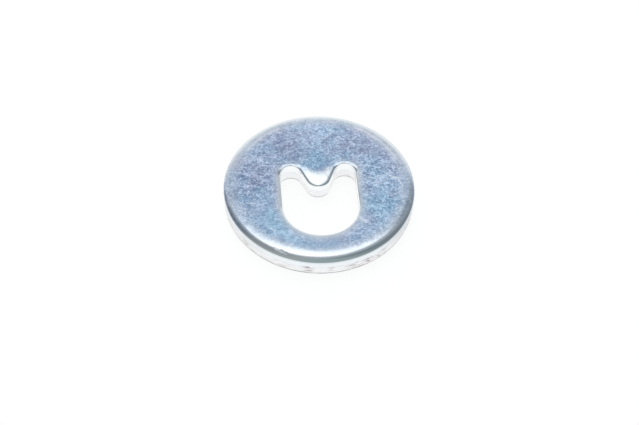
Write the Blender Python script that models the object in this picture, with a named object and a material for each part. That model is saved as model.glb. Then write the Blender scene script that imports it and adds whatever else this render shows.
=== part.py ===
"""Eccentric keyed washer, stamped from strip steel and bright zinc plated.

One solid. The hole seats a bolt off the middle of the disc, and a rounded tooth at its far side enters the
groove of that bolt, so that turning the bolt turns the washer like a cam. Punch and die leave their marks
on every edge: rolled over at the top, upright and burnished below that, broken and slightly tapered at the
foot, with the burr tumbled off.

The origin is the middle of the disc on its lower face. +Z goes up through the thickness, and +Y points
from the bolt seat to the tooth. Sizes are in millimetres, and MM turns them into metres.
"""

import math

import bmesh
import bpy

MM = 0.001
NODE_NAME = "eccentric_washer"

# Disc
DISC_RADIUS = 18.0
THICKNESS = 4.1

# Bolt hole, measured from the bolt's axis
BOLT_DIAMETER = 14.0
BOLT_CLEARANCE = 0.2
ECCENTRICITY = 4.8
LOBE_REACH = 9.75
LOBE_RADIUS = 2.1

# Tooth between the two lobes, measured from the bolt's axis
TOOTH_REACH = 4.8
TOOTH_RADIUS = 2.4
TOOTH_FLANK_ANGLE = 24.5

# Rolled edge of the rim: how far it starts from the wall, how deep it sinks there, and the handles of its
# curve along the flat face and up the wall
RIM_ROLL_WIDTH = 2.9
RIM_ROLL_DEPTH = 0.85
RIM_HANDLES = (0.55, 0.55)

# Rolled edge of the hole: how far it starts from the wall
SEAT_ROLL_WIDTH = 0.95
LOBE_ROLL_WIDTH = 0.55
TOOTH_ROLL_WIDTH = 3.5

# The roll over the tooth starts at a wide, shallow V
ROLL_V_RADIUS = 2.0
ROLL_V_ANGLE = 58.0

# Slope of the hole's roll where it leaves the flat top, in degrees. Round the seat it leaves it level.
LOBE_START_SLOPE = 5.0
TOOTH_START_SLOPE = 3.8

# Slope of the hole's roll at its lip, in degrees
SEAT_LIP_SLOPE = 10.0
SIDE_LIP_SLOPE = 30.0
LOBE_LIP_SLOPE = 14.0
FLANK_LIP_SLOPE = 15.5
TIP_LIP_SLOPE = 12.5

# Radius that turns the lip of the hole's roll down into the wall
SEAT_LIP_RADIUS = 0.15
SIDE_LIP_RADIUS = 0.25
LOBE_LIP_RADIUS = 0.08
FLANK_LIP_RADIUS = 0.47
TIP_LIP_RADIUS = 0.2

# Broken lower part of the walls
BREAK_HEIGHT = 1.9
BREAK_TAPER = 0.12
BURR_RADIUS = 0.15

# A roll takes at most these shares of the metal beside it, and a lip's radius at most this share of its roll
RING_SHARE_RIM = 0.6
RING_SHARE_HOLE = 0.3
TOOTH_SHARE = 0.75
WALL_SHARE = 0.6
LIP_SHARE = 0.8

# Facets
RIM_FACETS = 120
SEAT_ARC_STEPS = 18
LOBE_ARC_STEPS = 9
TOOTH_ARC_STEPS = 14
FLANK_STEPS = 5
ROLL_STEPS = 8
SLOPE_STEPS = 5
LIP_STEPS = 4
BURR_STEPS = 2
SMOOTH_ANGLE = 35.0
MERGE_DISTANCE = 0.002

# Facets on each corner of the hole's outline, and on the side that follows it, counterclockwise from the
# corner at the left of the seat
CORNER_STEPS = (
    SEAT_ARC_STEPS,
    SEAT_ARC_STEPS,
    LOBE_ARC_STEPS,
    LOBE_ARC_STEPS,
    TOOTH_ARC_STEPS,
    LOBE_ARC_STEPS,
    LOBE_ARC_STEPS,
)
SIDE_STEPS = (1, FLANK_STEPS, 1, FLANK_STEPS, FLANK_STEPS, 1, FLANK_STEPS)

# Bright zinc with a bluish passivation
ZINC_COLOUR = (0.52, 0.61, 0.74, 1.0)
ZINC_ROUGHNESS = 0.32


def seat_radius():
    """Radius of the bolt seat and half the width of the hole."""
    return BOLT_DIAMETER / 2 + BOLT_CLEARANCE


def narrow_ring():
    """Metal between the bolt seat and the rim, at its narrowest."""
    return DISC_RADIUS - ECCENTRICITY - seat_radius()


def mix(start, end, share):
    return start + (end - start) * share


def corner_fillets(corners):
    """Turn, tangent length and radius of each corner, held back where two fillets would meet on one side."""
    count = len(corners)
    turns = []
    for index, (x, y, radius) in enumerate(corners):
        before = corners[index - 1]
        after = corners[(index + 1) % count]
        turn = math.atan2(after[1] - y, after[0] - x) - math.atan2(y - before[1], x - before[0])
        turns.append(math.remainder(turn, 2 * math.pi))
    lengths = [corner[2] * abs(math.tan(turn / 2)) for corner, turn in zip(corners, turns)]
    scales = [1.0] * count
    for index, (x, y, radius) in enumerate(corners):
        other = (index + 1) % count
        side = math.hypot(corners[other][0] - x, corners[other][1] - y)
        share = min(1.0, side / max(lengths[index] + lengths[other], side))
        scales[index] = min(scales[index], share)
        scales[other] = min(scales[other], share)
    return [(turn, length * scale, corner[2] * scale)
            for corner, turn, length, scale in zip(corners, turns, lengths, scales)]


def rounded_polygon(corners):
    """Points round a polygon of (x, y, fillet radius) corners.

    Each outline has the same count of points, so that two of them can be lofted point to point.
    """
    fillets = corner_fillets(corners)
    count = len(corners)
    arcs = []
    for index, (x, y, _) in enumerate(corners):
        turn, length, radius = fillets[index]
        steps = CORNER_STEPS[index]
        before = corners[index - 1]
        heading = math.atan2(y - before[1], x - before[0])
        start_x = x - length * math.cos(heading)
        start_y = y - length * math.sin(heading)
        side = math.copysign(1.0, turn)
        centre_x = start_x - side * radius * math.sin(heading)
        centre_y = start_y + side * radius * math.cos(heading)
        arc = []
        for step in range(steps + 1):
            angle = heading + turn * step / steps
            arc.append((
                centre_x + side * radius * math.sin(angle),
                centre_y - side * radius * math.cos(angle),
            ))
        arcs.append(arc)
    points = []
    for index, arc in enumerate(arcs):
        points.extend(arc)
        end = arc[-1]
        start = arcs[(index + 1) % count][0]
        for step in range(1, SIDE_STEPS[index]):
            share = step / SIDE_STEPS[index]
            points.append((mix(end[0], start[0], share), mix(end[1], start[1], share)))
    return points


def hole_outline(half_width, lobe_top, lobe_radius, tip, tip_radius, flank_angle):
    """Outline of the keyed hole, with the bolt's axis in its origin, run counterclockwise."""
    flank = math.radians(flank_angle)
    apex = tip - tip_radius * (1 / math.sin(flank) - 1)
    shoulder = (lobe_top - apex) * math.tan(flank)
    return rounded_polygon([
        (-half_width, -half_width, half_width),
        (half_width, -half_width, half_width),
        (half_width, lobe_top, lobe_radius),
        (shoulder, lobe_top, lobe_radius),
        (0.0, apex, tip_radius),
        (-shoulder, lobe_top, lobe_radius),
        (-half_width, lobe_top, lobe_radius),
    ])


def hole_wall(growth):
    """The hole's wall, set back into the metal by growth, in the disc's frame."""
    outline = hole_outline(
        seat_radius() + growth,
        LOBE_REACH + growth,
        LOBE_RADIUS + growth,
        TOOTH_REACH + growth,
        TOOTH_RADIUS - growth,
        TOOTH_FLANK_ANGLE,
    )
    return [(x, y - ECCENTRICITY) for x, y in outline]


def hole_roll_start():
    """Where the hole's rolled edge leaves the flat top, in the disc's frame."""
    seat_roll = min(SEAT_ROLL_WIDTH, RING_SHARE_HOLE * narrow_ring())
    tooth_roll = min(TOOTH_ROLL_WIDTH, TOOTH_SHARE * (LOBE_REACH - TOOTH_REACH))
    outline = hole_outline(
        seat_radius() + seat_roll,
        LOBE_REACH + LOBE_ROLL_WIDTH,
        LOBE_RADIUS + LOBE_ROLL_WIDTH,
        TOOTH_REACH + tooth_roll,
        ROLL_V_RADIUS,
        ROLL_V_ANGLE,
    )
    return [(x, y - ECCENTRICITY) for x, y in outline]


def hole_roll_forms():
    """Start slope, lip slope and lip radius of the hole's roll at each point of its outline."""
    seat = (0.0, SEAT_LIP_SLOPE, SEAT_LIP_RADIUS)
    side = (0.0, SIDE_LIP_SLOPE, SIDE_LIP_RADIUS)
    lobe = (LOBE_START_SLOPE, LOBE_LIP_SLOPE, LOBE_LIP_RADIUS)
    flank = (TOOTH_START_SLOPE, FLANK_LIP_SLOPE, FLANK_LIP_RADIUS)
    tip = (TOOTH_START_SLOPE, TIP_LIP_SLOPE, TIP_LIP_RADIUS)
    corner_stages = (
        (side, seat),
        (seat, side),
        (side, lobe),
        (lobe, lobe, flank),
        (flank, tip, flank),
        (flank, lobe, lobe),
        (lobe, side),
    )
    forms = []
    for stages, arc_steps, side_steps in zip(corner_stages, CORNER_STEPS, SIDE_STEPS):
        for step in range(arc_steps + 1):
            place = step / arc_steps * (len(stages) - 1)
            stage = min(int(place), len(stages) - 2)
            pairs = zip(stages[stage], stages[stage + 1])
            forms.append([mix(first, second, place - stage) for first, second in pairs])
        forms.extend([stages[-1]] * (side_steps - 1))
    return forms


def hole_section(start, end, start_slope, lip_slope, lip_radius):
    """Stations of the hole's roll at one point: share of the way from its start to the wall, and drop."""
    width = math.dist(start, end)
    leaving = math.tan(math.radians(start_slope))
    lip_angle = math.radians(lip_slope)
    radius = min(lip_radius, LIP_SHARE * width)
    run = width - radius * (1 - math.sin(lip_angle))
    stations = []
    for step in range(SLOPE_STEPS + 1):
        share = step / SLOPE_STEPS
        mean_slope = mix(leaving, mix(leaving, math.tan(lip_angle), share), 0.5)
        stations.append((run * share / width, run * share * mean_slope))
    lip_drop = stations[-1][1]
    for step in range(1, LIP_STEPS + 1):
        angle = mix(lip_angle, math.radians(90), step / LIP_STEPS)
        across = width - radius * (1 - math.sin(angle))
        stations.append((across / width, lip_drop + radius * (math.cos(lip_angle) - math.cos(angle))))
    return stations


def rim_circle(radius):
    """Points round the disc, counterclockwise."""
    points = []
    for facet in range(RIM_FACETS):
        angle = 2 * math.pi * facet / RIM_FACETS
        points.append((radius * math.cos(angle), radius * math.sin(angle)))
    return points


def rim_section():
    """Stations of the rim's roll: share of the way from its start to the wall, and drop."""
    along_face, up_wall = RIM_HANDLES
    stations = []
    for step in range(ROLL_STEPS + 1):
        t = step / ROLL_STEPS
        first = 3 * t * (1 - t) ** 2
        second = 3 * t * t * (1 - t)
        across = first * along_face + second + t ** 3
        stations.append((across, RIM_ROLL_DEPTH * (second * (1 - up_wall) + t ** 3)))
    return stations


def edge_loops(roll_start, wall, sections, set_back):
    """Closed loops of points down one edge of the washer, from the flat top to the flat foot.

    sections holds the stations of the roll at each point. set_back(distance) gives the wall moved into the
    metal, for the broken part and the tumbled burr.
    """
    loops = []
    for stations in zip(*sections):
        loops.append([
            (mix(start[0], end[0], across), mix(start[1], end[1], across), THICKNESS - drop)
            for start, end, (across, drop) in zip(roll_start, wall, stations)
        ])
    deepest = max(drop for section in sections for _, drop in section)
    break_height = min(BREAK_HEIGHT, WALL_SHARE * (THICKNESS - deepest))
    loops.append([(x, y, break_height) for x, y in wall])
    for step in range(BURR_STEPS + 1):
        angle = math.radians(90) * step / BURR_STEPS
        inward = BREAK_TAPER + BURR_RADIUS * (1 - math.cos(angle))
        height = BURR_RADIUS * (1 - math.sin(angle))
        loops.append([(x, y, height) for x, y in set_back(inward)])
    return loops


def loft(mesh, loops):
    """Faces between closed loops that have the same count of points."""
    rings = [[mesh.verts.new((x * MM, y * MM, z * MM)) for x, y, z in loop] for loop in loops]
    for upper, lower in zip(rings, rings[1:]):
        for index in range(len(upper)):
            after = (index + 1) % len(upper)
            mesh.faces.new((upper[index], upper[after], lower[after], lower[index]))


def cap(mesh, is_top):
    """Flat face between the rim and the hole, filled between the open edges at one end of the walls."""
    middle = THICKNESS / 2 * MM
    open_edges = [edge for edge in mesh.edges if edge.is_boundary and (edge.verts[0].co.z > middle) == is_top]
    bmesh.ops.triangle_fill(mesh, use_beauty=True, edges=open_edges)


def zinc_material():
    material = bpy.data.materials.new("bright_zinc")
    material.use_nodes = True
    shader = material.node_tree.nodes["Principled BSDF"]
    shader.inputs["Base Color"].default_value = ZINC_COLOUR
    shader.inputs["Metallic"].default_value = 1.0
    shader.inputs["Roughness"].default_value = ZINC_ROUGHNESS
    material.diffuse_color = ZINC_COLOUR
    return material


def build_washer():
    mesh = bmesh.new()
    rim_roll = min(RIM_ROLL_WIDTH, RING_SHARE_RIM * narrow_ring())
    loft(mesh, edge_loops(
        rim_circle(DISC_RADIUS - rim_roll),
        rim_circle(DISC_RADIUS),
        [rim_section()] * RIM_FACETS,
        lambda distance: rim_circle(DISC_RADIUS - distance),
    ))
    roll_start = hole_roll_start()
    wall = hole_wall(0.0)
    sections = [
        hole_section(start, end, *form)
        for start, end, form in zip(roll_start, wall, hole_roll_forms())
    ]
    loft(mesh, edge_loops(roll_start, wall, sections, hole_wall))
    bmesh.ops.remove_doubles(mesh, verts=mesh.verts, dist=MERGE_DISTANCE * MM)
    cap(mesh, is_top=True)
    cap(mesh, is_top=False)
    bmesh.ops.recalc_face_normals(mesh, faces=mesh.faces)

    data = bpy.data.meshes.new(NODE_NAME)
    mesh.to_mesh(data)
    mesh.free()
    data.shade_smooth()
    data.set_sharp_from_angle(angle=math.radians(SMOOTH_ANGLE))
    data.materials.append(zinc_material())
    washer = bpy.data.objects.new(NODE_NAME, data)
    bpy.context.collection.objects.link(washer)
    return washer


for existing in list(bpy.data.objects):
    bpy.data.objects.remove(existing, do_unlink=True)

build_washer()
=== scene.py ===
"""Looks of the keyed eccentric washer: a fine mesh of its stamped surface, bright zinc and soft studio light.

The washer's own frame is the CAD model's: the origin is the middle of the disc on its lower face, +Z goes up
and +Y points from the bolt seat to the tooth. Its sizes are in millimetres, and MM turns them into metres.
"""

import math

import bpy
import numpy as np
from mathutils import Matrix, Vector, noise


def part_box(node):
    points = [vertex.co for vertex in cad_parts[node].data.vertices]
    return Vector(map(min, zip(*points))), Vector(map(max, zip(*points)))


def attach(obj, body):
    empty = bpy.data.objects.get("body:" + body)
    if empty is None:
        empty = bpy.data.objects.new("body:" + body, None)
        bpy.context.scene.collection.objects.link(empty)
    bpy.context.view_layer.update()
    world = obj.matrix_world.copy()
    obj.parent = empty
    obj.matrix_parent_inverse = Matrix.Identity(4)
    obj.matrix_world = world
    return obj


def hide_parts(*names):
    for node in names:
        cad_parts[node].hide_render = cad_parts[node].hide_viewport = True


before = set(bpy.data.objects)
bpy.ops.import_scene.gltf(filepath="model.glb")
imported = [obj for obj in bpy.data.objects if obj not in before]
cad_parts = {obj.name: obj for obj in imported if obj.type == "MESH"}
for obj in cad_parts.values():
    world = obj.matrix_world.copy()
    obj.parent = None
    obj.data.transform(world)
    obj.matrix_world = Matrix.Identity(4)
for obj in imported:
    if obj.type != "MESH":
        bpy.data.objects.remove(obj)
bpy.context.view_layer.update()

MM = 0.001
NODE = "eccentric_washer"

# Hole, measured from the bolt's axis, as the CAD model has it
SEAT_RADIUS = 7.2
ECCENTRICITY = 4.8
LOBE_REACH = 9.75
LOBE_RADIUS = 2.1
TOOTH_REACH = 4.8
TOOTH_RADIUS = 2.4
TOOTH_FLANK_ANGLE = 24.5

# Rolled edge of the rim: width, depth, and the handles of its curve
RIM_ROLL_WIDTH = 2.9
RIM_ROLL_DEPTH = 0.85
RIM_HANDLES = (0.55, 0.55)

# Rolled edge of the hole: its width
SEAT_ROLL_WIDTH = 0.95
LOBE_ROLL_WIDTH = 0.55
TOOTH_ROLL_WIDTH = 3.5

# Rolled edge of the hole: angle where it starts, angle at its lip, and radius beyond the lip
SEAT_ROLL = (0.0, 10.0, 0.15)
SIDE_ROLL = (0.0, 30.0, 0.25)
LOBE_ROLL = (1.5, 14.0, 0.05)
FLANK_ROLL = (3.8, 15.5, 0.47)
TIP_ROLL = (3.8, 12.5, 0.20)
ROLL_V_RADIUS = 2.0
ROLL_V_ANGLE = 58.0

# Broken lower part of the walls, and the burr below it
BREAK_HEIGHT = 1.9
BREAK_WAVER = 0.25
BREAK_WAVER_SIZE = 2.0
BREAK_WAVER_FALL = 0.8
BREAK_WAVER_OCTAVES = 4
BREAK_TAPER = 0.12
BURR_RADIUS = 0.15

# How bright punch and die have rubbed the sheared land, and the seed of the line below it; the rim's lower
# value also paints the shade that its outer wall mirrors from the paper
HOLE_LAND = 1.0
RIM_LAND_AND_SHADE = 0.85
HOLE_BREAK_SEED = 1.0
RIM_BREAK_SEED = 5.0

# Wear of the bluish film: distance from the wall, and how far the film is gone there. On the tooth the
# distance is a share of the roll's width, and the roll becomes the tooth's between two widths.
RIM_WEAR = ((0.2, 1.0), (0.7, 0.9), (1.2, 0.65), (2.0, 0.42), (2.7, 0.2), (3.4, 0.0))
HOLE_WEAR = ((0.0, 0.8), (0.3, 0.6), (0.8, 0.32), (1.5, 0.1), (2.2, 0.0))
TOOTH_WEAR = ((0.0, 1.0), (0.7, 0.85), (0.85, 0.5), (1.0, 0.2), (1.2, 0.0))
TOOTH_WEAR_WIDTHS = (1.1, 2.45)

# Mesh: columns round the washer, and rows over its section
COLUMNS = 660
FACE_ROWS = 62
ROLL_ROWS = 16
LAND_ROWS = 6
BROKEN_ROWS = 9
BURR_ROWS = 3
FOOT_ROWS = 16
ARC_STEPS = 60
RAY_CENTRE = (0.0, -2.7)
RAY_SMOOTHING = 45

# Fractal noise: how fast its octaves weaken, and how much finer each one is
CLOUD_FALL = 1.0
LACUNARITY = 2.0


def mix(start, end, share):
    return start + (end - start) * share


def smooth_step(values, low, high):
    share = np.clip((values - low) / (high - low), 0.0, 1.0)
    return share * share * (3 - 2 * share)


# Outlines of the hole


def corner_fillets(corners):
    """Turn, tangent length and radius of each corner, held back where two fillets would meet on one side."""
    count = len(corners)
    turns = []
    for index, (x, y, _) in enumerate(corners):
        before = corners[index - 1]
        after = corners[(index + 1) % count]
        turn = math.atan2(after[1] - y, after[0] - x) - math.atan2(y - before[1], x - before[0])
        turns.append(math.remainder(turn, 2 * math.pi))
    lengths = [corner[2] * abs(math.tan(turn / 2)) for corner, turn in zip(corners, turns)]
    scales = [1.0] * count
    for index, (x, y, _) in enumerate(corners):
        other = (index + 1) % count
        side = math.hypot(corners[other][0] - x, corners[other][1] - y)
        share = min(1.0, side / max(lengths[index] + lengths[other], side))
        scales[index] = min(scales[index], share)
        scales[other] = min(scales[other], share)
    return [(turn, length * scale, corner[2] * scale)
            for corner, turn, length, scale in zip(corners, turns, lengths, scales)]


def rounded_outline(corners):
    """Dense points round a polygon of (x, y, fillet radius) corners, run counterclockwise."""
    points = []
    for index, ((x, y, _), (turn, length, radius)) in enumerate(zip(corners, corner_fillets(corners))):
        before = corners[index - 1]
        heading = math.atan2(y - before[1], x - before[0])
        side = math.copysign(1.0, turn)
        centre_x = x - length * math.cos(heading) - side * radius * math.sin(heading)
        centre_y = y - length * math.sin(heading) + side * radius * math.cos(heading)
        for step in range(ARC_STEPS + 1):
            angle = heading + turn * step / ARC_STEPS
            points.append((
                centre_x + side * radius * math.sin(angle),
                centre_y - side * radius * math.cos(angle),
            ))
    return np.array(points)


def hole_outline(half_width, lobe_top, lobe_radius, tip, tip_radius, flank_angle):
    """The keyed hole in the disc's frame."""
    flank = math.radians(flank_angle)
    apex = tip - tip_radius * (1 / math.sin(flank) - 1)
    shoulder = (lobe_top - apex) * math.tan(flank)
    outline = rounded_outline([
        (-half_width, -half_width, half_width),
        (half_width, -half_width, half_width),
        (half_width, lobe_top, lobe_radius),
        (shoulder, lobe_top, lobe_radius),
        (0.0, apex, tip_radius),
        (-shoulder, lobe_top, lobe_radius),
        (-half_width, lobe_top, lobe_radius),
    ])
    outline[:, 1] -= ECCENTRICITY
    return outline


def hole_wall(growth):
    """The hole's wall, set back into the metal by growth."""
    return hole_outline(
        SEAT_RADIUS + growth,
        LOBE_REACH + growth,
        LOBE_RADIUS + growth,
        TOOTH_REACH + growth,
        TOOTH_RADIUS - growth,
        TOOTH_FLANK_ANGLE,
    )


def hole_roll_start():
    """Where the hole's rolled edge leaves the flat top."""
    return hole_outline(
        SEAT_RADIUS + SEAT_ROLL_WIDTH,
        LOBE_REACH + LOBE_ROLL_WIDTH,
        LOBE_RADIUS + LOBE_ROLL_WIDTH,
        TOOTH_REACH + TOOTH_ROLL_WIDTH,
        ROLL_V_RADIUS,
        ROLL_V_ANGLE,
    )


def run_length(outline):
    """Length along a closed outline up to each point, and its whole length."""
    steps = np.linalg.norm(np.roll(outline, -1, axis=0) - outline, axis=1)
    return np.concatenate(([0.0], np.cumsum(steps)))


def resample(values, lengths, wanted):
    closed = np.concatenate((values, values[:1]))
    return np.stack([np.interp(wanted, lengths, closed[:, axis]) for axis in range(closed.shape[1])], axis=1)


def spread(corner_forms):
    """The forms of a corner's roll, from one to the next along its arc."""
    places = np.linspace(0.0, len(corner_forms) - 1.0, ARC_STEPS + 1)
    known = np.arange(len(corner_forms))
    return np.stack([np.interp(places, known, column) for column in zip(*corner_forms)], axis=1)


def hole_columns():
    """Points of the hole's outlines at each column, and the form of the roll there."""
    wall = hole_wall(0.0)
    forms = np.concatenate([spread(corner_forms) for corner_forms in (
        (SIDE_ROLL, SEAT_ROLL),
        (SEAT_ROLL, SIDE_ROLL),
        (SIDE_ROLL, LOBE_ROLL, LOBE_ROLL),
        (LOBE_ROLL, LOBE_ROLL, FLANK_ROLL),
        (FLANK_ROLL, TIP_ROLL, FLANK_ROLL),
        (FLANK_ROLL, LOBE_ROLL, LOBE_ROLL),
        (LOBE_ROLL, LOBE_ROLL, SIDE_ROLL),
    )])
    lengths = run_length(wall)
    wanted = np.linspace(0.0, lengths[-1], COLUMNS, endpoint=False)
    outlines = (wall, hole_roll_start(), hole_wall(BREAK_TAPER), hole_wall(BREAK_TAPER + BURR_RADIUS), forms)
    return [resample(values, lengths, wanted) for values in outlines]


# Section of the washer


def smooth_ring(values, width):
    """Moving average of a ring of values, three times over."""
    count = len(values)
    kernel = np.ones(width) / width
    for _ in range(3):
        padded = np.concatenate((values[-width:], values, values[:width]))
        values = np.convolve(padded, kernel, mode="same")[width:width + count]
    return values


def rim_angles(roll):
    """Angle of each column at the rim: rays through the hole's roll, evened out."""
    rays = roll - np.array(RAY_CENTRE)
    angles = np.unwrap(np.arctan2(rays[:, 1], rays[:, 0]))
    even = np.linspace(0.0, 2 * math.pi, COLUMNS, endpoint=False)
    return even + smooth_ring(angles - even, RAY_SMOOTHING)


def rim_stations():
    """Shares of width and depth down the rim's rolled edge, from the flat face to the wall."""
    along_face, up_wall = RIM_HANDLES
    t = np.linspace(0.0, 1.0, ROLL_ROWS + 1)
    first = 3 * t * (1 - t) ** 2
    second = 3 * t * t * (1 - t)
    return first * along_face + second + t ** 3, second * (1 - up_wall) + t ** 3


def hole_stations(width, start, lip, radius):
    """Share of the width, and drop, at each station and column of the hole's rolled edge."""
    start_slope = np.tan(np.radians(start))
    lip_angle = np.radians(lip)
    run = width - radius * (1 - np.sin(lip_angle))
    stations = []
    slope_rows = ROLL_ROWS // 2
    radius_rows = ROLL_ROWS - slope_rows
    for row in range(slope_rows + 1):
        share = row / slope_rows
        drop = run * (start_slope * share + (np.tan(lip_angle) - start_slope) * share * share / 2)
        stations.append((run * share / width, drop))
    lip_drop = stations[-1][1]
    for row in range(1, radius_rows + 1):
        angle = mix(lip_angle, math.pi / 2, row / radius_rows)
        across = width - radius * (1 - np.sin(angle))
        stations.append((across / width, lip_drop + radius * (np.cos(lip_angle) - np.cos(angle))))
    return stations


MARKS = ("worn", "sheared", "broken", "burr_and_foot_shade")


class Section:
    """Rows of points over the washer's section, each with how worn, sheared and broken it is and how far it
    lies in the burr, whose mark also paints shade along the foot of the walls.
    """

    def __init__(self):
        self.rows = []
        self.marks = {mark: [] for mark in MARKS}

    def add(self, points, height, **marks):
        self.rows.append(np.column_stack((points, np.broadcast_to(height, (COLUMNS,)))))
        for mark in MARKS:
            self.marks[mark].append(np.broadcast_to(marks.get(mark, 0.0), (COLUMNS,)))


def wear(distance, steps):
    """How far the film is gone at each distance from a wall."""
    return np.interp(distance, *zip(*steps))


def break_line(points, seed):
    """Height of the line where the sheared land ends, wavering round a wall."""
    wavers = [
        noise.fractal((x, y, seed), BREAK_WAVER_FALL, LACUNARITY, BREAK_WAVER_OCTAVES)
        for x, y in points / BREAK_WAVER_SIZE
    ]
    return BREAK_HEIGHT + BREAK_WAVER * np.array(wavers)


def wall_rows(wall, back, top, broken_top, sheared):
    """Rows of one wall from the burr up to the roll: broken metal, then the sheared land."""
    rows = [(back, BURR_RADIUS, {"broken": 1.0, "burr_and_foot_shade": 1.0})]
    for row in range(1, BROKEN_ROWS + 1):
        share = row / BROKEN_ROWS
        rows.append((mix(back, wall, share), mix(BURR_RADIUS, broken_top, share), {"broken": 1.0}))
    for row in range(1, LAND_ROWS + 1):
        rows.append((wall, mix(broken_top, top, row / LAND_ROWS), {"sheared": sheared}))
    return rows


def burr_rows(back, foot):
    """Rows of one burr, from the underside up to the broken wall."""
    rows = []
    for row in range(BURR_ROWS):
        angle = math.radians(90) * row / BURR_ROWS
        rows.append((mix(foot, back, math.sin(angle)), BURR_RADIUS * (1 - math.cos(angle)), {"burr_and_foot_shade": 1.0}))
    return rows


def build_section():
    """All rows, from the hole's foot up its wall, over the top face, down the rim and back under the foot."""
    wall, roll, back, foot, forms = hole_columns()
    stations = hole_stations(np.linalg.norm(roll - wall, axis=1), *forms.T)
    low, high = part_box(NODE)
    radius = (high.x - low.x) / 2 / MM
    top = high.z / MM
    angles = rim_angles(roll)
    section = Section()

    def circle(distance):
        return np.stack((np.cos(angles), np.sin(angles)), axis=1) * distance

    hole_break = break_line(wall, HOLE_BREAK_SEED)
    hole_rows = burr_rows(back, foot) + wall_rows(wall, back, top - stations[-1][1], hole_break, HOLE_LAND)
    for points, height, marks in hole_rows:
        section.add(points, height, **marks)
    width = np.linalg.norm(roll - wall, axis=1)
    on_tooth = smooth_step(width, *TOOTH_WEAR_WIDTHS)

    def add_top(points, height):
        distance = np.linalg.norm(points - wall, axis=1)
        from_hole = mix(wear(distance, HOLE_WEAR), wear(distance / width, TOOTH_WEAR), on_tooth)
        from_rim = wear(radius - np.linalg.norm(points, axis=1), RIM_WEAR)
        section.add(points, height, worn=np.maximum(from_hole, from_rim))

    for across, drop in reversed(stations[:-1]):
        add_top(roll + (wall - roll) * across[:, None], top - drop)
    rim_start = circle(radius - RIM_ROLL_WIDTH)
    for row in range(1, FACE_ROWS + 1):
        add_top(mix(roll, rim_start, row / FACE_ROWS), top)
    across, down = rim_stations()
    for row in range(1, ROLL_ROWS + 1):
        add_top(circle(radius - RIM_ROLL_WIDTH * (1 - across[row])), top - RIM_ROLL_DEPTH * down[row])
    rim_wall = circle(radius)
    rim_back = circle(radius - BREAK_TAPER)
    rim_foot = circle(radius - BREAK_TAPER - BURR_RADIUS)
    rim_rows = burr_rows(rim_back, rim_foot)
    rim_break = break_line(rim_wall, RIM_BREAK_SEED)
    # Painted shade: the rim's wall takes less of the land's pale colour, darkening it as if it mirrored
    # shaded paper
    rim_rows += wall_rows(rim_wall, rim_back, top - RIM_ROLL_DEPTH, rim_break, RIM_LAND_AND_SHADE)
    for points, height, marks in reversed(rim_rows[:-1]):
        section.add(points, height, **marks)
    for row in range(1, FOOT_ROWS):
        section.add(mix(rim_foot, foot, row / FOOT_ROWS), 0.0)
    return section


# Relief and marks on the surface, in millimetres

# Noise: its strength (a height where it is relief), the size of its grains, its octaves and its seed
SWELL = (0.010, 8.0, 2, 3.1)
RIPPLE = (0.003, 0.9, 2, 7.7)
LAND_LINES = (0.003, 0.25, 2, 1.3)
TEAR = (0.06, 0.7, 4, 9.2)
BURR_WAVES = (0.02, 0.9, 3, 4.4)
PIT_NOISE = (0.6, 3.0, 2, 2.5)
TINT_NOISE = (0.9, 2.8, 3, 6.0)

# How far the grains are drawn out in height, and the share of the ripple that wear takes
LAND_STRETCH = (1.0, 1.0, 12.0)
TEAR_STRETCH = (1.0, 1.0, 0.6)
RIPPLE_WORN = 0.7
SCRATCH_DEPTH = 0.006

# How far the relief of the underside stays off the paper, and the height up to which it is lifted
UNDERSIDE_LIFT = 0.016
LIFT_HEIGHT = 0.475

# Burr: how strong it is round the hole, inside a radius, against 1 at the rim; its mark also sets the painted
# shade along the foot of the walls
HOLE_BURR_AND_FOOT_SHADE = 0.75
HOLE_BURR_REACH = 16.0

# Mottling: the limit of its tone, its contrast, and the share of the contrast that wear takes
TONE_LIMIT = 1.5
MEAN_CONTRAST = 0.7
CONTRAST_WORN = 0.8

# Patches where the passivation is more violet (+) or more cyan (-): x, y, radius, strength
TINT_PATCHES = (
    (-12.0, 3.0, 4.5, 0.8),
    (-6.0, 11.0, 5.0, 0.8),
    (10.0, 10.0, 5.0, 0.7),
    (-12.5, -5.0, 2.5, 0.2),
    (0.0, 5.5, 2.8, -1.0),
    (-9.5, -9.0, 4.0, -1.0),
    (-3.0, -13.5, 4.0, -0.6),
    (11.5, -5.0, 4.5, -0.6),
    (2.0, 13.5, 3.5, -0.2),
)

# Patches where the mottling is paler (+) or darker (-): x, y, radius, strength
TONE_PATCHES = (
    (0.5, 14.0, 3.5, 1.0),
    (4.5, 12.0, 2.5, 0.5),
    (-6.0, -13.0, 3.5, 0.7),
    (14.0, 1.0, 2.0, 0.5),
    (-12.0, 0.0, 4.0, -1.0),
    (-6.0, 8.0, 4.0, -1.0),
    (0.0, 6.0, 3.5, -1.0),
    (9.0, 7.5, 4.5, -0.5),
    (11.0, -4.0, 3.0, -0.3),
    (6.6, -12.0, 3.5, 0.9),
    (12.4, -3.5, 3.5, 0.5),
    (-12.8, 1.7, 3.0, -0.7),
    (0.0, 14.0, 4.0, 0.7),
    (-11.0, -5.2, 2.5, 0.3),
    (12.4, -3.5, 2.5, 0.2),
)

# Patches where the mottling is stronger (+) or calmer (-): x, y, radius, strength
CONTRAST_PATCHES = (
    (-12.0, 1.0, 5.0, 0.25),
    (12.0, 2.0, 5.0, 0.30),
    (0.0, -14.5, 5.0, -0.25),
    (-9.0, -9.0, 4.0, -0.20),
    (0.0, -14.0, 5.0, -0.2),
    (-11.0, -5.5, 3.0, -0.15),
)

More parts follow.
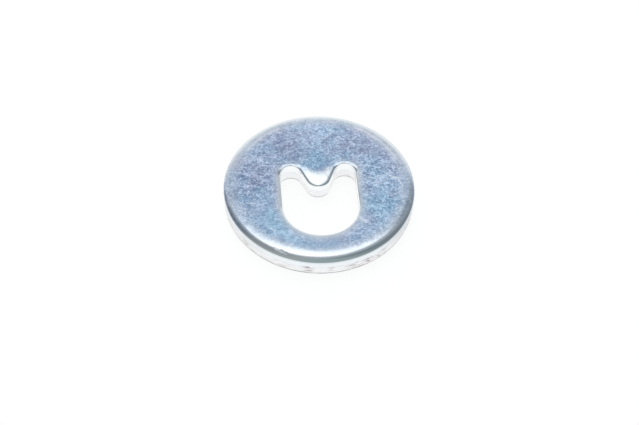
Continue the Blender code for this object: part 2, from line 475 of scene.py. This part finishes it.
# Patches where the film is more worn (+) or less worn (-): x, y, radius, strength
WEAR_PATCHES = (
    (-17.0, 1.0, 6.0, -0.55),
    (-15.0, -8.0, 4.0, -0.4),
    (17.5, -1.0, 6.0, -0.5),
    (-3.0, -17.0, 8.5, 0.9),
    (8.6, 2.0, 2.5, 0.6),
    (-8.6, 1.0, 3.0, 0.7),
    (-8.4, -4.0, 3.0, 0.7),
)

# Patches of the walls that are pitted (+): x, y, radius, strength
PIT_PATCHES = (
    (-14.5, -10.5, 1.5, 0.5),
    (-7.6, -16.3, 1.2, 0.5),
    (-3.3, -17.7, 0.9, 1.0),
    (1.2, -17.9, 1.0, 0.9),
    (4.5, -17.4, 1.3, 0.8),
    (7.5, -16.3, 1.7, 0.9),
    (10.4, -14.7, 1.3, 0.8),
)

# Scratches, and two wide pale arcs along the back of the rim's roll that paint a highlight: width, strength,
# and the points they pass
SCRATCHES_AND_HIGHLIGHT_ARCS = (
    (0.13, 0.6, ((13.4, 1.3), (14.9, 0.6), (15.7, -1.1), (15.2, -2.6), (13.2, -3.6))),
    (0.14, 1.0, ((6.75, -8.3), (7.95, -9.4))),
    (0.10, 0.7, ((7.0, -9.4), (8.7, -9.9))),
    (0.09, 0.5, ((-13.3, 7.4), (-11.6, 6.8), (-10.2, 6.9))),
    (0.09, 0.5, ((2.2, 11.8), (3.4, 12.9))),
    (0.08, 0.4, ((9.6, 12.6), (11.9, 10.4))),
    # Painted highlight: this arc and the next, wide and pale along the back of the rim's roll, stand in for a
    # highlight over a shallow groove
    (0.28, 0.75, ((15.2, 5.5), (14.0, 8.1), (12.4, 10.4), (10.4, 12.4), (8.1, 14.0))),
    (0.28, 0.60, ((-6.8, 14.6), (-9.3, 13.2), (-11.4, 11.4), (-13.2, 9.3))),
    (0.10, 0.8, ((9.3, 4.1), (10.3, 3.9))),
    (0.10, 0.9, ((9.4, 1.1), (10.4, 0.9))),
    (0.10, 0.9, ((14.0, 0.9), (15.1, 0.6))),
    (0.10, 0.7, ((10.6, -0.1), (11.7, -0.4))),
    (0.10, 0.8, ((6.8, 10.0), (8.0, 9.5))),
    (0.10, 0.9, ((-13.9, -3.6), (-12.7, -4.0))),
    (0.10, 0.9, ((-15.2, -4.7), (-14.1, -5.1))),
    (0.09, 0.8, ((-9.9, -9.8), (-8.9, -10.7))),
    (0.15, 1.0, ((-9.1, -14.65), (-8.3, -15.1), (-7.2, -15.9))),
)

# Dents: x, y, radius, depth
DENTS = (
    (-8.05, -15.2, 0.30, 0.035),
    (-7.35, -15.75, 0.22, 0.030),
    (-9.1, -14.4, 0.22, 0.020),
    (-12.4, -4.3, 0.35, 0.012),
    (-10.6, 12.2, 0.30, 0.012),
    (12.6, 3.9, 0.35, 0.012),
    (3.4, -13.7, 0.30, 0.010),
)


def grid_normals(points):
    """Outward normals of the closed grid of points."""
    around = np.roll(points, -1, axis=1) - np.roll(points, 1, axis=1)
    over = np.roll(points, -1, axis=0) - np.roll(points, 1, axis=0)
    normals = np.cross(over, around)
    return normals / np.linalg.norm(normals, axis=2, keepdims=True)


def cloud(points, size, octaves, seed, stretch):
    """Fractal noise at each point, with grains of about the given size."""
    scaled = points.reshape(-1, 3) / (size * np.array(stretch)) + seed
    values = [noise.fractal(point, CLOUD_FALL, LACUNARITY, octaves) for point in scaled.tolist()]
    return np.array(values).reshape(points.shape[:2])


def waves(points, form, stretch=(1.0, 1.0, 1.0)):
    """Noise of the given strength, grain size, octaves and seed at each point."""
    strength, size, octaves, seed = form
    return strength * cloud(points, size, octaves, seed, stretch)


def above_break(points):
    """Which points lie above the broken part of the walls."""
    return points[:, :, 2] > BREAK_HEIGHT


def patches(points, entries):
    """Sum of soft round patches at each point, as seen from above."""
    total = np.zeros(points.shape[:2])
    for x, y, radius, strength in entries:
        away = np.hypot(points[:, :, 0] - x, points[:, :, 1] - y)
        total += strength * np.exp(-(away / radius) ** 2)
    return total


def scratch_and_highlight_marks(points):
    """How strongly each point is marked by the scratches and by the arcs of painted highlight."""
    total = np.zeros(points.shape[:2])
    for width, strength, path in SCRATCHES_AND_HIGHLIGHT_ARCS:
        nearest = np.full(points.shape[:2], np.inf)
        for start, end in zip(path, path[1:]):
            start = np.array(start)
            along = np.array(end) - start
            to_point = points[:, :, :2] - start
            share = np.clip(to_point @ along / (along @ along), 0.0, 1.0)
            away = np.linalg.norm(to_point - share[:, :, None] * along, axis=2)
            nearest = np.minimum(nearest, away)
        total += strength * np.exp(-(nearest / width) ** 2)
    return total


def relief(points, marks):
    """Height of the surface over its true form at each point."""
    height = waves(points, SWELL)
    height += waves(points, RIPPLE) * (1 - RIPPLE_WORN * marks["worn"])
    height += waves(points, LAND_LINES, LAND_STRETCH) * marks["sheared"]
    height -= np.abs(waves(points, TEAR, TEAR_STRETCH)) * marks["broken"]
    height += waves(points, BURR_WAVES) * marks["burr_and_foot_shade"]
    height -= SCRATCH_DEPTH * marks["scratch_and_highlight"]
    height -= patches(points, DENTS) * above_break(points)
    height -= UNDERSIDE_LIFT * (1 - smooth_step(points[:, :, 2], 0.0, LIFT_HEIGHT))
    return height


def build_mesh(name):
    section = build_section()
    points = np.stack(section.rows)
    marks = {mark: np.stack(values) for mark, values in section.marks.items()}
    marks["scratch_and_highlight"] = scratch_and_highlight_marks(points) * above_break(points)
    marks["worn"] = np.clip(marks["worn"] * (1 + patches(points, WEAR_PATCHES)), 0.0, 1.0)
    from_middle = np.hypot(points[:, :, 0], points[:, :, 1])
    # The hole's burr is weaker: less relief and lighter painted foot shade there
    marks["burr_and_foot_shade"] *= np.where(from_middle > HOLE_BURR_REACH, 1.0, HOLE_BURR_AND_FOOT_SHADE)
    marks["pitted"] = np.clip(patches(points, PIT_PATCHES) + waves(points, PIT_NOISE), 0.0, 1.0)
    moved = points + grid_normals(points) * relief(points, marks)[:, :, None]
    moved[:, :, 2] = np.maximum(moved[:, :, 2], 0.0)

    grid = np.arange(points.shape[0] * COLUMNS).reshape(-1, COLUMNS)
    after = np.roll(grid, -1, axis=1)
    quads = np.stack((grid, np.roll(grid, -1, axis=0), np.roll(after, -1, axis=0), after), axis=-1)
    mesh = bpy.data.meshes.new(name)
    mesh.from_pydata((moved.reshape(-1, 3) * MM).tolist(), [], quads.reshape(-1, 4).tolist())
    mesh.shade_smooth()

    tint = patches(points, TINT_PATCHES) + waves(points, TINT_NOISE)
    marks["tint"] = 0.5 + 0.5 * np.clip(tint, -1.0, 1.0)
    marks["tone"] = np.clip(patches(points, TONE_PATCHES), -TONE_LIMIT, TONE_LIMIT)
    contrast = MEAN_CONTRAST + patches(points, CONTRAST_PATCHES)
    marks["contrast"] = contrast * (1 - CONTRAST_WORN * marks["worn"])
    for mark, values in marks.items():
        attribute = mesh.attributes.new(mark, "FLOAT", "POINT")
        attribute.data.foreach_set("value", values.astype(np.float32).ravel())
    return mesh


# Materials


class Nodes:
    """Shorthand for making and joining the nodes of one material or world."""

    def __init__(self, tree):
        self.tree = tree

    def add(self, kind, **settings):
        node = self.tree.nodes.new(kind)
        for name, value in settings.items():
            setattr(node, name, value)
        return node

    def feed(self, socket, value):
        """Joins a socket to another one, or sets it to a number or a colour."""
        if isinstance(value, bpy.types.NodeSocket):
            self.tree.links.new(value, socket)
        elif socket.type == "RGBA":
            socket.default_value = (*value, 1.0)
        else:
            socket.default_value = value

    def math(self, operation, first, second=0.0, clamp=False):
        node = self.add("ShaderNodeMath", operation=operation, use_clamp=clamp)
        self.feed(node.inputs[0], first)
        self.feed(node.inputs[1], second)
        return node.outputs[0]

    def ramp(self, value, low, high, low_value=0.0, high_value=1.0):
        node = self.add("ShaderNodeMapRange", interpolation_type="SMOOTHSTEP")
        for name, entry in (("Value", value), ("From Min", low), ("From Max", high),
                            ("To Min", low_value), ("To Max", high_value)):
            self.feed(node.inputs[name], entry)
        return node.outputs["Result"]

    def blend(self, share, first, second):
        node = self.add("ShaderNodeMix", data_type="RGBA")
        self.feed(node.inputs["Factor"], share)
        colours = [socket for socket in node.inputs if socket.type == "RGBA"]
        self.feed(colours[0], first)
        self.feed(colours[1], second)
        return [socket for socket in node.outputs if socket.type == "RGBA"][0]

    def noise(self, place, grain, detail=2.0, roughness=0.5):
        """Noise with grains of the given size in millimetres."""
        node = self.add("ShaderNodeTexNoise")
        self.feed(node.inputs["Vector"], place)
        node.inputs["Scale"].default_value = 1 / (grain * MM)
        node.inputs["Detail"].default_value = detail
        node.inputs["Roughness"].default_value = roughness
        return node

    def stretch(self, place, factors):
        node = self.add("ShaderNodeVectorMath", operation="MULTIPLY")
        self.feed(node.inputs[0], place)
        node.inputs[1].default_value = factors
        return node.outputs[0]

    def attribute(self, name):
        return self.add("ShaderNodeAttribute", attribute_name=name).outputs["Fac"]


# Film: its darkest and palest colour where it is violet and where it is cyan
DARK_VIOLET = (0.18, 0.22, 0.35)
LIGHT_VIOLET = (0.70, 0.79, 1.0)
DARK_CYAN = (0.14, 0.27, 0.44)
LIGHT_CYAN = (0.60, 0.82, 1.0)

# Zinc with the film worn off, in the mottling's dark and pale parts, and on the lip where wear is complete
DARK_WORN = (0.43, 0.48, 0.54)
LIGHT_WORN = (0.96, 0.98, 1.0)
LIP_ZINC = (0.73, 0.78, 0.81)
LIP_WEAR = (0.6, 1.0)

# Zinc in the scratches and on the walls, and the burr's dark grey, which is painted shade along the foot of
# the walls
# Painted highlight: the scratch colour also paints the arcs along the back of the rim's roll
SCRATCH_AND_HIGHLIGHT_ZINC = (0.88, 0.92, 0.98)
SCRATCH_AND_HIGHLIGHT_COVER = 0.8
LAND_ZINC = (0.93, 0.95, 0.95)
BROKEN_ZINC = (0.90, 0.90, 0.91)
PIT_ZINC = (0.38, 0.33, 0.35)
PAINTED_FOOT_SHADE = (0.20, 0.20, 0.20)

# Strokes of the mottling: how they are drawn out, the size of their grains, and how they wind
STROKE_FACTORS = (0.8, 1.0, 1.0)
STROKE_GRAIN = 0.75
STROKE_DETAIL = 3.0
STROKE_ROUGHNESS = 0.72
STROKE_DISTORTION = 1.5

# Ridges between the scales of the film: size of a scale, width of a ridge as a share of it, and how far and
# in what grain the ridges wander
SCALE_SIZE = 0.5
RIDGE_WIDTH = 0.3
WANDER = 0.6
WANDER_GRAIN = 0.9

# Clumps of the mottling, and its sparkles: pale dots of painted glint that the bump also raises
CLUMP_GRAIN = 2.0
SPARKLE_GRAIN = 0.34
SPARKLE_POWER = 2.0

# Share of the ridges, the clumps and the painted sparkles in the texture, beside the strokes
RIDGE_SHARE = 0.07
CLUMP_SHARE = 0.25
SPARKLE_SHARE = 3.0

# From the texture to how pale the film is
TEXTURE_MIDDLE = 0.55
TEXTURE_CONTRAST = 2.8
TONE_SHARE = 0.09
MIDDLE_LEVEL = 0.68
PALENESS_POWER = 2.0

# Pits of the torn metal: how their grains are drawn out, and the noise at which they begin and are full
PIT_FACTORS = (0.3, 0.3, 1.8)
PIT_GRAIN = 0.5
PIT_DETAIL = 3.0
PIT_ROUGHNESS = 0.6
PIT_EDGE = (0.50, 0.58)

# Roughness over the range of the strokes, its share left on smooth metal, and what a scratch adds
STROKE_RANGE = (0.3, 0.7)
FACE_ROUGHNESS = (0.12, 0.20)
SMOOTH_ROUGHNESS = 0.7
SCRATCH_ROUGHNESS = 0.3

# Bump: its depth in millimetres, the smoothness over which it fades, and its share left there
BUMP_DEPTH = 0.012
BUMP_FADE = (0.05, 0.6)
SMOOTH_BUMP = 0.2


def mottling(nodes, place):
    """Strokes of the mottling, and the whole texture that they make with ridges, clumps and pale sparkles of
    painted glint.
    """
    drawn = nodes.stretch(place, STROKE_FACTORS)
    squiggles = nodes.noise(drawn, STROKE_GRAIN, STROKE_DETAIL, STROKE_ROUGHNESS)
    squiggles.inputs["Distortion"].default_value = STROKE_DISTORTION
    strokes = squiggles.outputs["Fac"]

    shifted = nodes.add("ShaderNodeVectorMath", operation="MULTIPLY_ADD")
    nodes.feed(shifted.inputs[0], nodes.noise(place, WANDER_GRAIN).outputs["Color"])
    shifted.inputs[1].default_value = (WANDER * MM,) * 3
    nodes.feed(shifted.inputs[2], drawn)
    scales = nodes.add("ShaderNodeTexVoronoi", feature="DISTANCE_TO_EDGE")
    nodes.feed(scales.inputs["Vector"], shifted.outputs[0])
    scales.inputs["Scale"].default_value = 1 / (SCALE_SIZE * MM)
    ridges = nodes.ramp(scales.outputs["Distance"], 0.0, RIDGE_WIDTH, 1.0, 0.0)

    clumps = nodes.math("SUBTRACT", nodes.noise(drawn, CLUMP_GRAIN).outputs["Fac"], 0.5)
    # Painted glints: sparkles of paler film, which the bump also raises
    sparkle_noise = nodes.noise(drawn, SPARKLE_GRAIN, detail=1.0).outputs["Fac"]
    above = nodes.math("MAXIMUM", nodes.math("SUBTRACT", sparkle_noise, 0.5), 0.0)
    sparkle = nodes.math("POWER", above, SPARKLE_POWER)
    texture = strokes
    for part, share in ((ridges, RIDGE_SHARE), (clumps, CLUMP_SHARE), (sparkle, SPARKLE_SHARE)):
        texture = nodes.math("ADD", texture, nodes.math("MULTIPLY", part, share))
    return strokes, texture


def face_colour(nodes, texture):
    """Colour of the faces: mottled film, worn off toward the edges, with scratches and arcs of painted
    highlight.
    """
    contrast = nodes.math("MULTIPLY", nodes.attribute("contrast"), TEXTURE_CONTRAST)
    level = nodes.math("MULTIPLY", nodes.math("SUBTRACT", texture, TEXTURE_MIDDLE), contrast)
    level = nodes.math("ADD", level, nodes.math("MULTIPLY", nodes.attribute("tone"), TONE_SHARE))
    level = nodes.math("ADD", level, MIDDLE_LEVEL, clamp=True)
    paleness = nodes.math("POWER", level, PALENESS_POWER)
    tint = nodes.attribute("tint")
    dark = nodes.blend(tint, DARK_CYAN, DARK_VIOLET)
    light = nodes.blend(tint, LIGHT_CYAN, LIGHT_VIOLET)
    film = nodes.blend(paleness, dark, light)

    wear_mark = nodes.attribute("worn")
    bare = nodes.blend(paleness, DARK_WORN, LIGHT_WORN)
    bare = nodes.blend(nodes.ramp(wear_mark, *LIP_WEAR), bare, LIP_ZINC)
    worn = nodes.blend(wear_mark, film, bare)
    scratch_and_highlight = nodes.math("MULTIPLY", nodes.attribute("scratch_and_highlight"), SCRATCH_AND_HIGHLIGHT_COVER, clamp=True)
    return nodes.blend(scratch_and_highlight, worn, SCRATCH_AND_HIGHLIGHT_ZINC)


def wall_colour(nodes, place, colour):
    """The given colour, with the sheared land, the torn metal and its pits, and the burr's painted foot shade
    laid over it; the rim's wall gets less land, which paints the shade that wall mirrors.
    """
    # Less land colour on the rim's wall is painted shade
    colour = nodes.blend(nodes.attribute("sheared"), colour, LAND_ZINC)
    pits = nodes.noise(nodes.stretch(place, PIT_FACTORS), PIT_GRAIN, PIT_DETAIL, PIT_ROUGHNESS)
    pitted = nodes.math("MULTIPLY", nodes.ramp(pits.outputs["Fac"], *PIT_EDGE), nodes.attribute("pitted"))
    colour = nodes.blend(nodes.attribute("broken"), colour, nodes.blend(pitted, BROKEN_ZINC, PIT_ZINC))
    # Painted shade: dark grey along the foot of the walls, in the burr
    return nodes.blend(nodes.attribute("burr_and_foot_shade"), colour, PAINTED_FOOT_SHADE)


def zinc():
    material = bpy.data.materials.new("bright_zinc_plate")
    material.use_nodes = True
    nodes = Nodes(material.node_tree)
    shader = material.node_tree.nodes["Principled BSDF"]
    shader.inputs["Metallic"].default_value = 1.0
    place = nodes.add("ShaderNodeTexCoord").outputs["Object"]
    strokes, texture = mottling(nodes, place)
    nodes.feed(shader.inputs["Base Color"], wall_colour(nodes, place, face_colour(nodes, texture)))

    smooth = nodes.math("ADD", nodes.attribute("worn"), nodes.attribute("sheared"), clamp=True)
    face_roughness = nodes.ramp(strokes, *STROKE_RANGE, *FACE_ROUGHNESS)
    roughness = nodes.math("MULTIPLY", face_roughness, nodes.ramp(smooth, 0.0, 1.0, 1.0, SMOOTH_ROUGHNESS))
    rubbed = nodes.math("MULTIPLY", nodes.attribute("scratch_and_highlight"), SCRATCH_ROUGHNESS, clamp=True)
    nodes.feed(shader.inputs["Roughness"], nodes.math("ADD", roughness, rubbed))

    bump = nodes.add("ShaderNodeBump")
    bump.inputs["Strength"].default_value = 1.0
    bump.inputs["Distance"].default_value = BUMP_DEPTH * MM
    fade = nodes.ramp(smooth, *BUMP_FADE, 1.0, SMOOTH_BUMP)
    nodes.feed(bump.inputs["Height"], nodes.math("MULTIPLY", texture, fade))
    nodes.feed(shader.inputs["Normal"], bump.outputs[0])
    return material


# Camera, fitted to the outlines in the photograph (639 x 425 pixels)
IMAGE_WIDTH = 639.0
IMAGE_CENTRE = (319.0, 212.0)
ORIGIN_PIXEL = (318.26, 197.55)
CAMERA_ELEVATION = 50.61
CAMERA_ROLL = 1.90
CAMERA_TURN = 6.0
CAMERA_DISTANCE = 272.6
LENS = 80.7
SENSOR = 36.0

# Studio, in metres
FLOOR_SIZE = 2.0
FLOOR_GLOW = 0.88
FLOOR_MIRRORED_GLOW = 0.92
FLOOR_ALBEDO = 0.25

# Paper beside the washer, as its wall mirrors it: painted shade, dimmer on the left and the right
SHADE_START = 0.010
SHADE_END = 0.017
FLOOR_SHADE_LEFT = 0.91
FLOOR_SHADE_RIGHT = 0.78

# Soft box: its place and size as shares of its height over the washer, how soft its edge is, where it fades
# out behind and how much sooner at its sides, and how far its right side is skewed back
SOFT_BOX_SIDE = -0.03
SOFT_BOX_BACK = 0.455
SOFT_BOX_WIDTH = 0.92
SOFT_BOX_LENGTH = 0.57
SOFT_BOX_EDGE = 0.12
SOFT_BOX_FADE = (0.48, 0.76)
SOFT_BOX_TAPER = 0.25
SOFT_BOX_SKEW = 0.25
SOFT_BOX_GLOW = 0.15
SOFT_BOX_GLOW_REACH = 2.2
SOFT_BOX_RADIANCE = 1.45

# Least height that a direction is divided by, so that the soft box has no mirror image below
LEAST_HEIGHT = 0.01

# Backdrop: its colours, its bearings in degrees, and how far its right edge moves in with height
BACKDROP_LOW = (1.12, 1.12, 1.10)
BACKDROP_HIGH = (0.80, 0.82, 0.85)
BACKDROP_LEFT = -52.0
BACKDROP_RIGHT = 49.0
BACKDROP_LEAN = 24.0
BACKDROP_EDGE = 16.0

# Heights over which the backdrop turns from its low to its high colour, and over which it ends
BACKDROP_RISE = (0.1, 0.62)
BACKDROP_TOP = (0.80, 0.88)

# Room: bearing in degrees, and colour
ROOM_COLOURS = (
    (-180, (0.37, 0.44, 0.44)),
    (-135, (0.42, 0.44, 0.44)),
    (-105, (0.34, 0.35, 0.36)),
    (-75, (0.22, 0.25, 0.28)),
    (-50, (0.38, 0.40, 0.43)),
    (0, (0.34, 0.36, 0.39)),
    (45, (0.40, 0.44, 0.47)),
    (70, (0.23, 0.26, 0.29)),
    (100, (0.22, 0.26, 0.28)),
    (135, (0.36, 0.43, 0.42)),
    (180, (0.37, 0.44, 0.44)),
)


def make_floor():
    bpy.ops.mesh.primitive_plane_add(size=FLOOR_SIZE)
    floor = bpy.context.object
    floor.name = "studio_floor"
    paper = bpy.data.materials.new("white_paper")
    paper.use_nodes = True
    nodes = Nodes(paper.node_tree)
    shader = paper.node_tree.nodes["Principled BSDF"]
    shader.inputs["Base Color"].default_value = (FLOOR_ALBEDO, FLOOR_ALBEDO, FLOOR_ALBEDO, 1.0)
    shader.inputs["Roughness"].default_value = 1.0
    shader.inputs["Specular IOR Level"].default_value = 0.0
    shader.inputs["Emission Color"].default_value = (1.0, 1.0, 1.0, 1.0)
    path = nodes.add("ShaderNodeLightPath")
    seen = nodes.math("MULTIPLY", path.outputs["Is Camera Ray"], FLOOR_GLOW)
    mirrored = nodes.math("MAXIMUM", path.outputs["Is Glossy Ray"], path.outputs["Is Transmission Ray"])
    parts = nodes.add("ShaderNodeSeparateXYZ")
    nodes.feed(parts.inputs[0], nodes.add("ShaderNodeTexCoord").outputs["Object"])
    # Painted shade on the paper, as the walls mirror it
    left = nodes.ramp(parts.outputs["X"], -SHADE_END, -SHADE_START, FLOOR_SHADE_LEFT, 1.0)
    right = nodes.ramp(parts.outputs["X"], SHADE_START, SHADE_END, 1.0, FLOOR_SHADE_RIGHT)
    shaded = nodes.math("MULTIPLY", nodes.math("MULTIPLY", left, right), FLOOR_MIRRORED_GLOW)
    glow = nodes.math("MAXIMUM", seen, nodes.math("MULTIPLY", mirrored, shaded))
    nodes.feed(shader.inputs["Emission Strength"], glow)
    floor.data.materials.append(paper)
    return floor


def make_world():
    """A white backdrop behind the washer, a soft box above it, and a dimmer room all round."""
    world = bpy.data.worlds.new("studio")
    bpy.context.scene.world = world
    world.use_nodes = True
    nodes = Nodes(world.node_tree)
    direction = nodes.add("ShaderNodeTexCoord").outputs["Generated"]
    turned = nodes.add("ShaderNodeVectorRotate", rotation_type="Z_AXIS")
    nodes.feed(turned.inputs["Vector"], direction)
    turned.inputs["Angle"].default_value = math.radians(CAMERA_TURN)
    parts = nodes.add("ShaderNodeSeparateXYZ")
    nodes.feed(parts.inputs[0], turned.outputs[0])
    height = parts.outputs["Z"]
    bearing = nodes.math("ARCTAN2", parts.outputs["X"], parts.outputs["Y"])
    past_left = nodes.math("SUBTRACT", math.radians(BACKDROP_LEFT), bearing)
    lean = nodes.math("MULTIPLY", height, math.radians(BACKDROP_LEAN))
    past_right = nodes.math("SUBTRACT", nodes.math("ADD", bearing, lean), math.radians(BACKDROP_RIGHT))
    edge = math.radians(BACKDROP_EDGE) / 2
    sector = nodes.ramp(nodes.math("MAXIMUM", past_left, past_right), -edge, edge, 1.0, 0.0)
    on_backdrop = nodes.math("MULTIPLY", sector, nodes.ramp(height, *BACKDROP_TOP, 1.0, 0.0))
    backdrop = nodes.blend(nodes.ramp(height, *BACKDROP_RISE), BACKDROP_LOW, BACKDROP_HIGH)
    room = nodes.add("ShaderNodeValToRGB")
    stops = room.color_ramp.elements
    while len(stops) < len(ROOM_COLOURS):
        stops.new(0.5)
    for stop, (angle, colour) in zip(stops, ROOM_COLOURS):
        stop.position = angle / 360 + 0.5
        stop.color = (*colour, 1.0)
    nodes.feed(room.inputs["Fac"], nodes.math("ADD", nodes.math("MULTIPLY", bearing, 0.5 / math.pi), 0.5))
    light = nodes.blend(on_backdrop, room.outputs["Color"], backdrop)
    raised = nodes.math("MAXIMUM", height, LEAST_HEIGHT)
    aside = nodes.math("DIVIDE", parts.outputs["X"], raised)
    behind = nodes.math("DIVIDE", parts.outputs["Y"], raised)
    from_middle = nodes.math("SUBTRACT", aside, SOFT_BOX_SIDE)
    across = nodes.math("MULTIPLY", from_middle, 2 / SOFT_BOX_WIDTH)
    skew = nodes.math("MULTIPLY", nodes.math("MAXIMUM", from_middle, 0.0), SOFT_BOX_SKEW)
    from_centre = nodes.math("SUBTRACT", nodes.math("SUBTRACT", behind, SOFT_BOX_BACK), skew)
    along = nodes.math("MULTIPLY", from_centre, 2 / SOFT_BOX_LENGTH)
    squares = nodes.math("ADD", nodes.math("POWER", across, 2.0), nodes.math("POWER", along, 2.0))
    outward = nodes.math("SQRT", squares)
    box = nodes.ramp(outward, 1 - SOFT_BOX_EDGE, 1 + SOFT_BOX_EDGE, 1.0, 0.0)
    glow = nodes.ramp(outward, 1.0, SOFT_BOX_GLOW_REACH, SOFT_BOX_GLOW, 0.0)
    taper = nodes.math("MULTIPLY", nodes.math("ABSOLUTE", from_middle), SOFT_BOX_TAPER)
    fade = nodes.ramp(nodes.math("ADD", behind, taper), *SOFT_BOX_FADE, 1.0, 0.0)
    box = nodes.math("MULTIPLY", nodes.math("MAXIMUM", box, glow), fade)
    light = nodes.blend(box, light, (SOFT_BOX_RADIANCE,) * 3)
    seen = nodes.add("ShaderNodeLightPath").outputs["Is Camera Ray"]
    background = world.node_tree.nodes["Background"]
    nodes.feed(background.inputs["Color"], nodes.blend(seen, light, (1.0, 1.0, 1.0)))


def make_camera():
    data = bpy.data.cameras.new("camera")
    data.sensor_fit = "HORIZONTAL"
    data.sensor_width = SENSOR
    data.lens = LENS
    data.shift_x = (IMAGE_CENTRE[0] - ORIGIN_PIXEL[0]) / IMAGE_WIDTH
    data.shift_y = (ORIGIN_PIXEL[1] - IMAGE_CENTRE[1]) / IMAGE_WIDTH
    data.clip_start = MM
    camera = bpy.data.objects.new("camera", data)
    bpy.context.scene.collection.objects.link(camera)
    rise = math.radians(CAMERA_ELEVATION)
    roll = math.radians(CAMERA_ROLL)
    back = Vector((0.0, -math.cos(rise), math.sin(rise)))
    level = Vector((1.0, 0.0, 0.0))
    upward = back.cross(level)
    right = level * math.cos(roll) + upward * math.sin(roll)
    up = upward * math.cos(roll) - level * math.sin(roll)
    pose = Matrix((right, up, back)).transposed().to_4x4()
    pose.translation = back * CAMERA_DISTANCE * MM
    camera.matrix_world = Matrix.Rotation(math.radians(-CAMERA_TURN), 4, "Z") @ pose
    bpy.context.scene.camera = camera


washer = bpy.data.objects.new("plated_washer", build_mesh("plated_washer"))
bpy.context.scene.collection.objects.link(washer)
washer.data.materials.append(zinc())
floor = make_floor()
make_world()
make_camera()
bpy.context.scene.view_settings.view_transform = "Standard"

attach(washer, "root")
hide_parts(NODE)
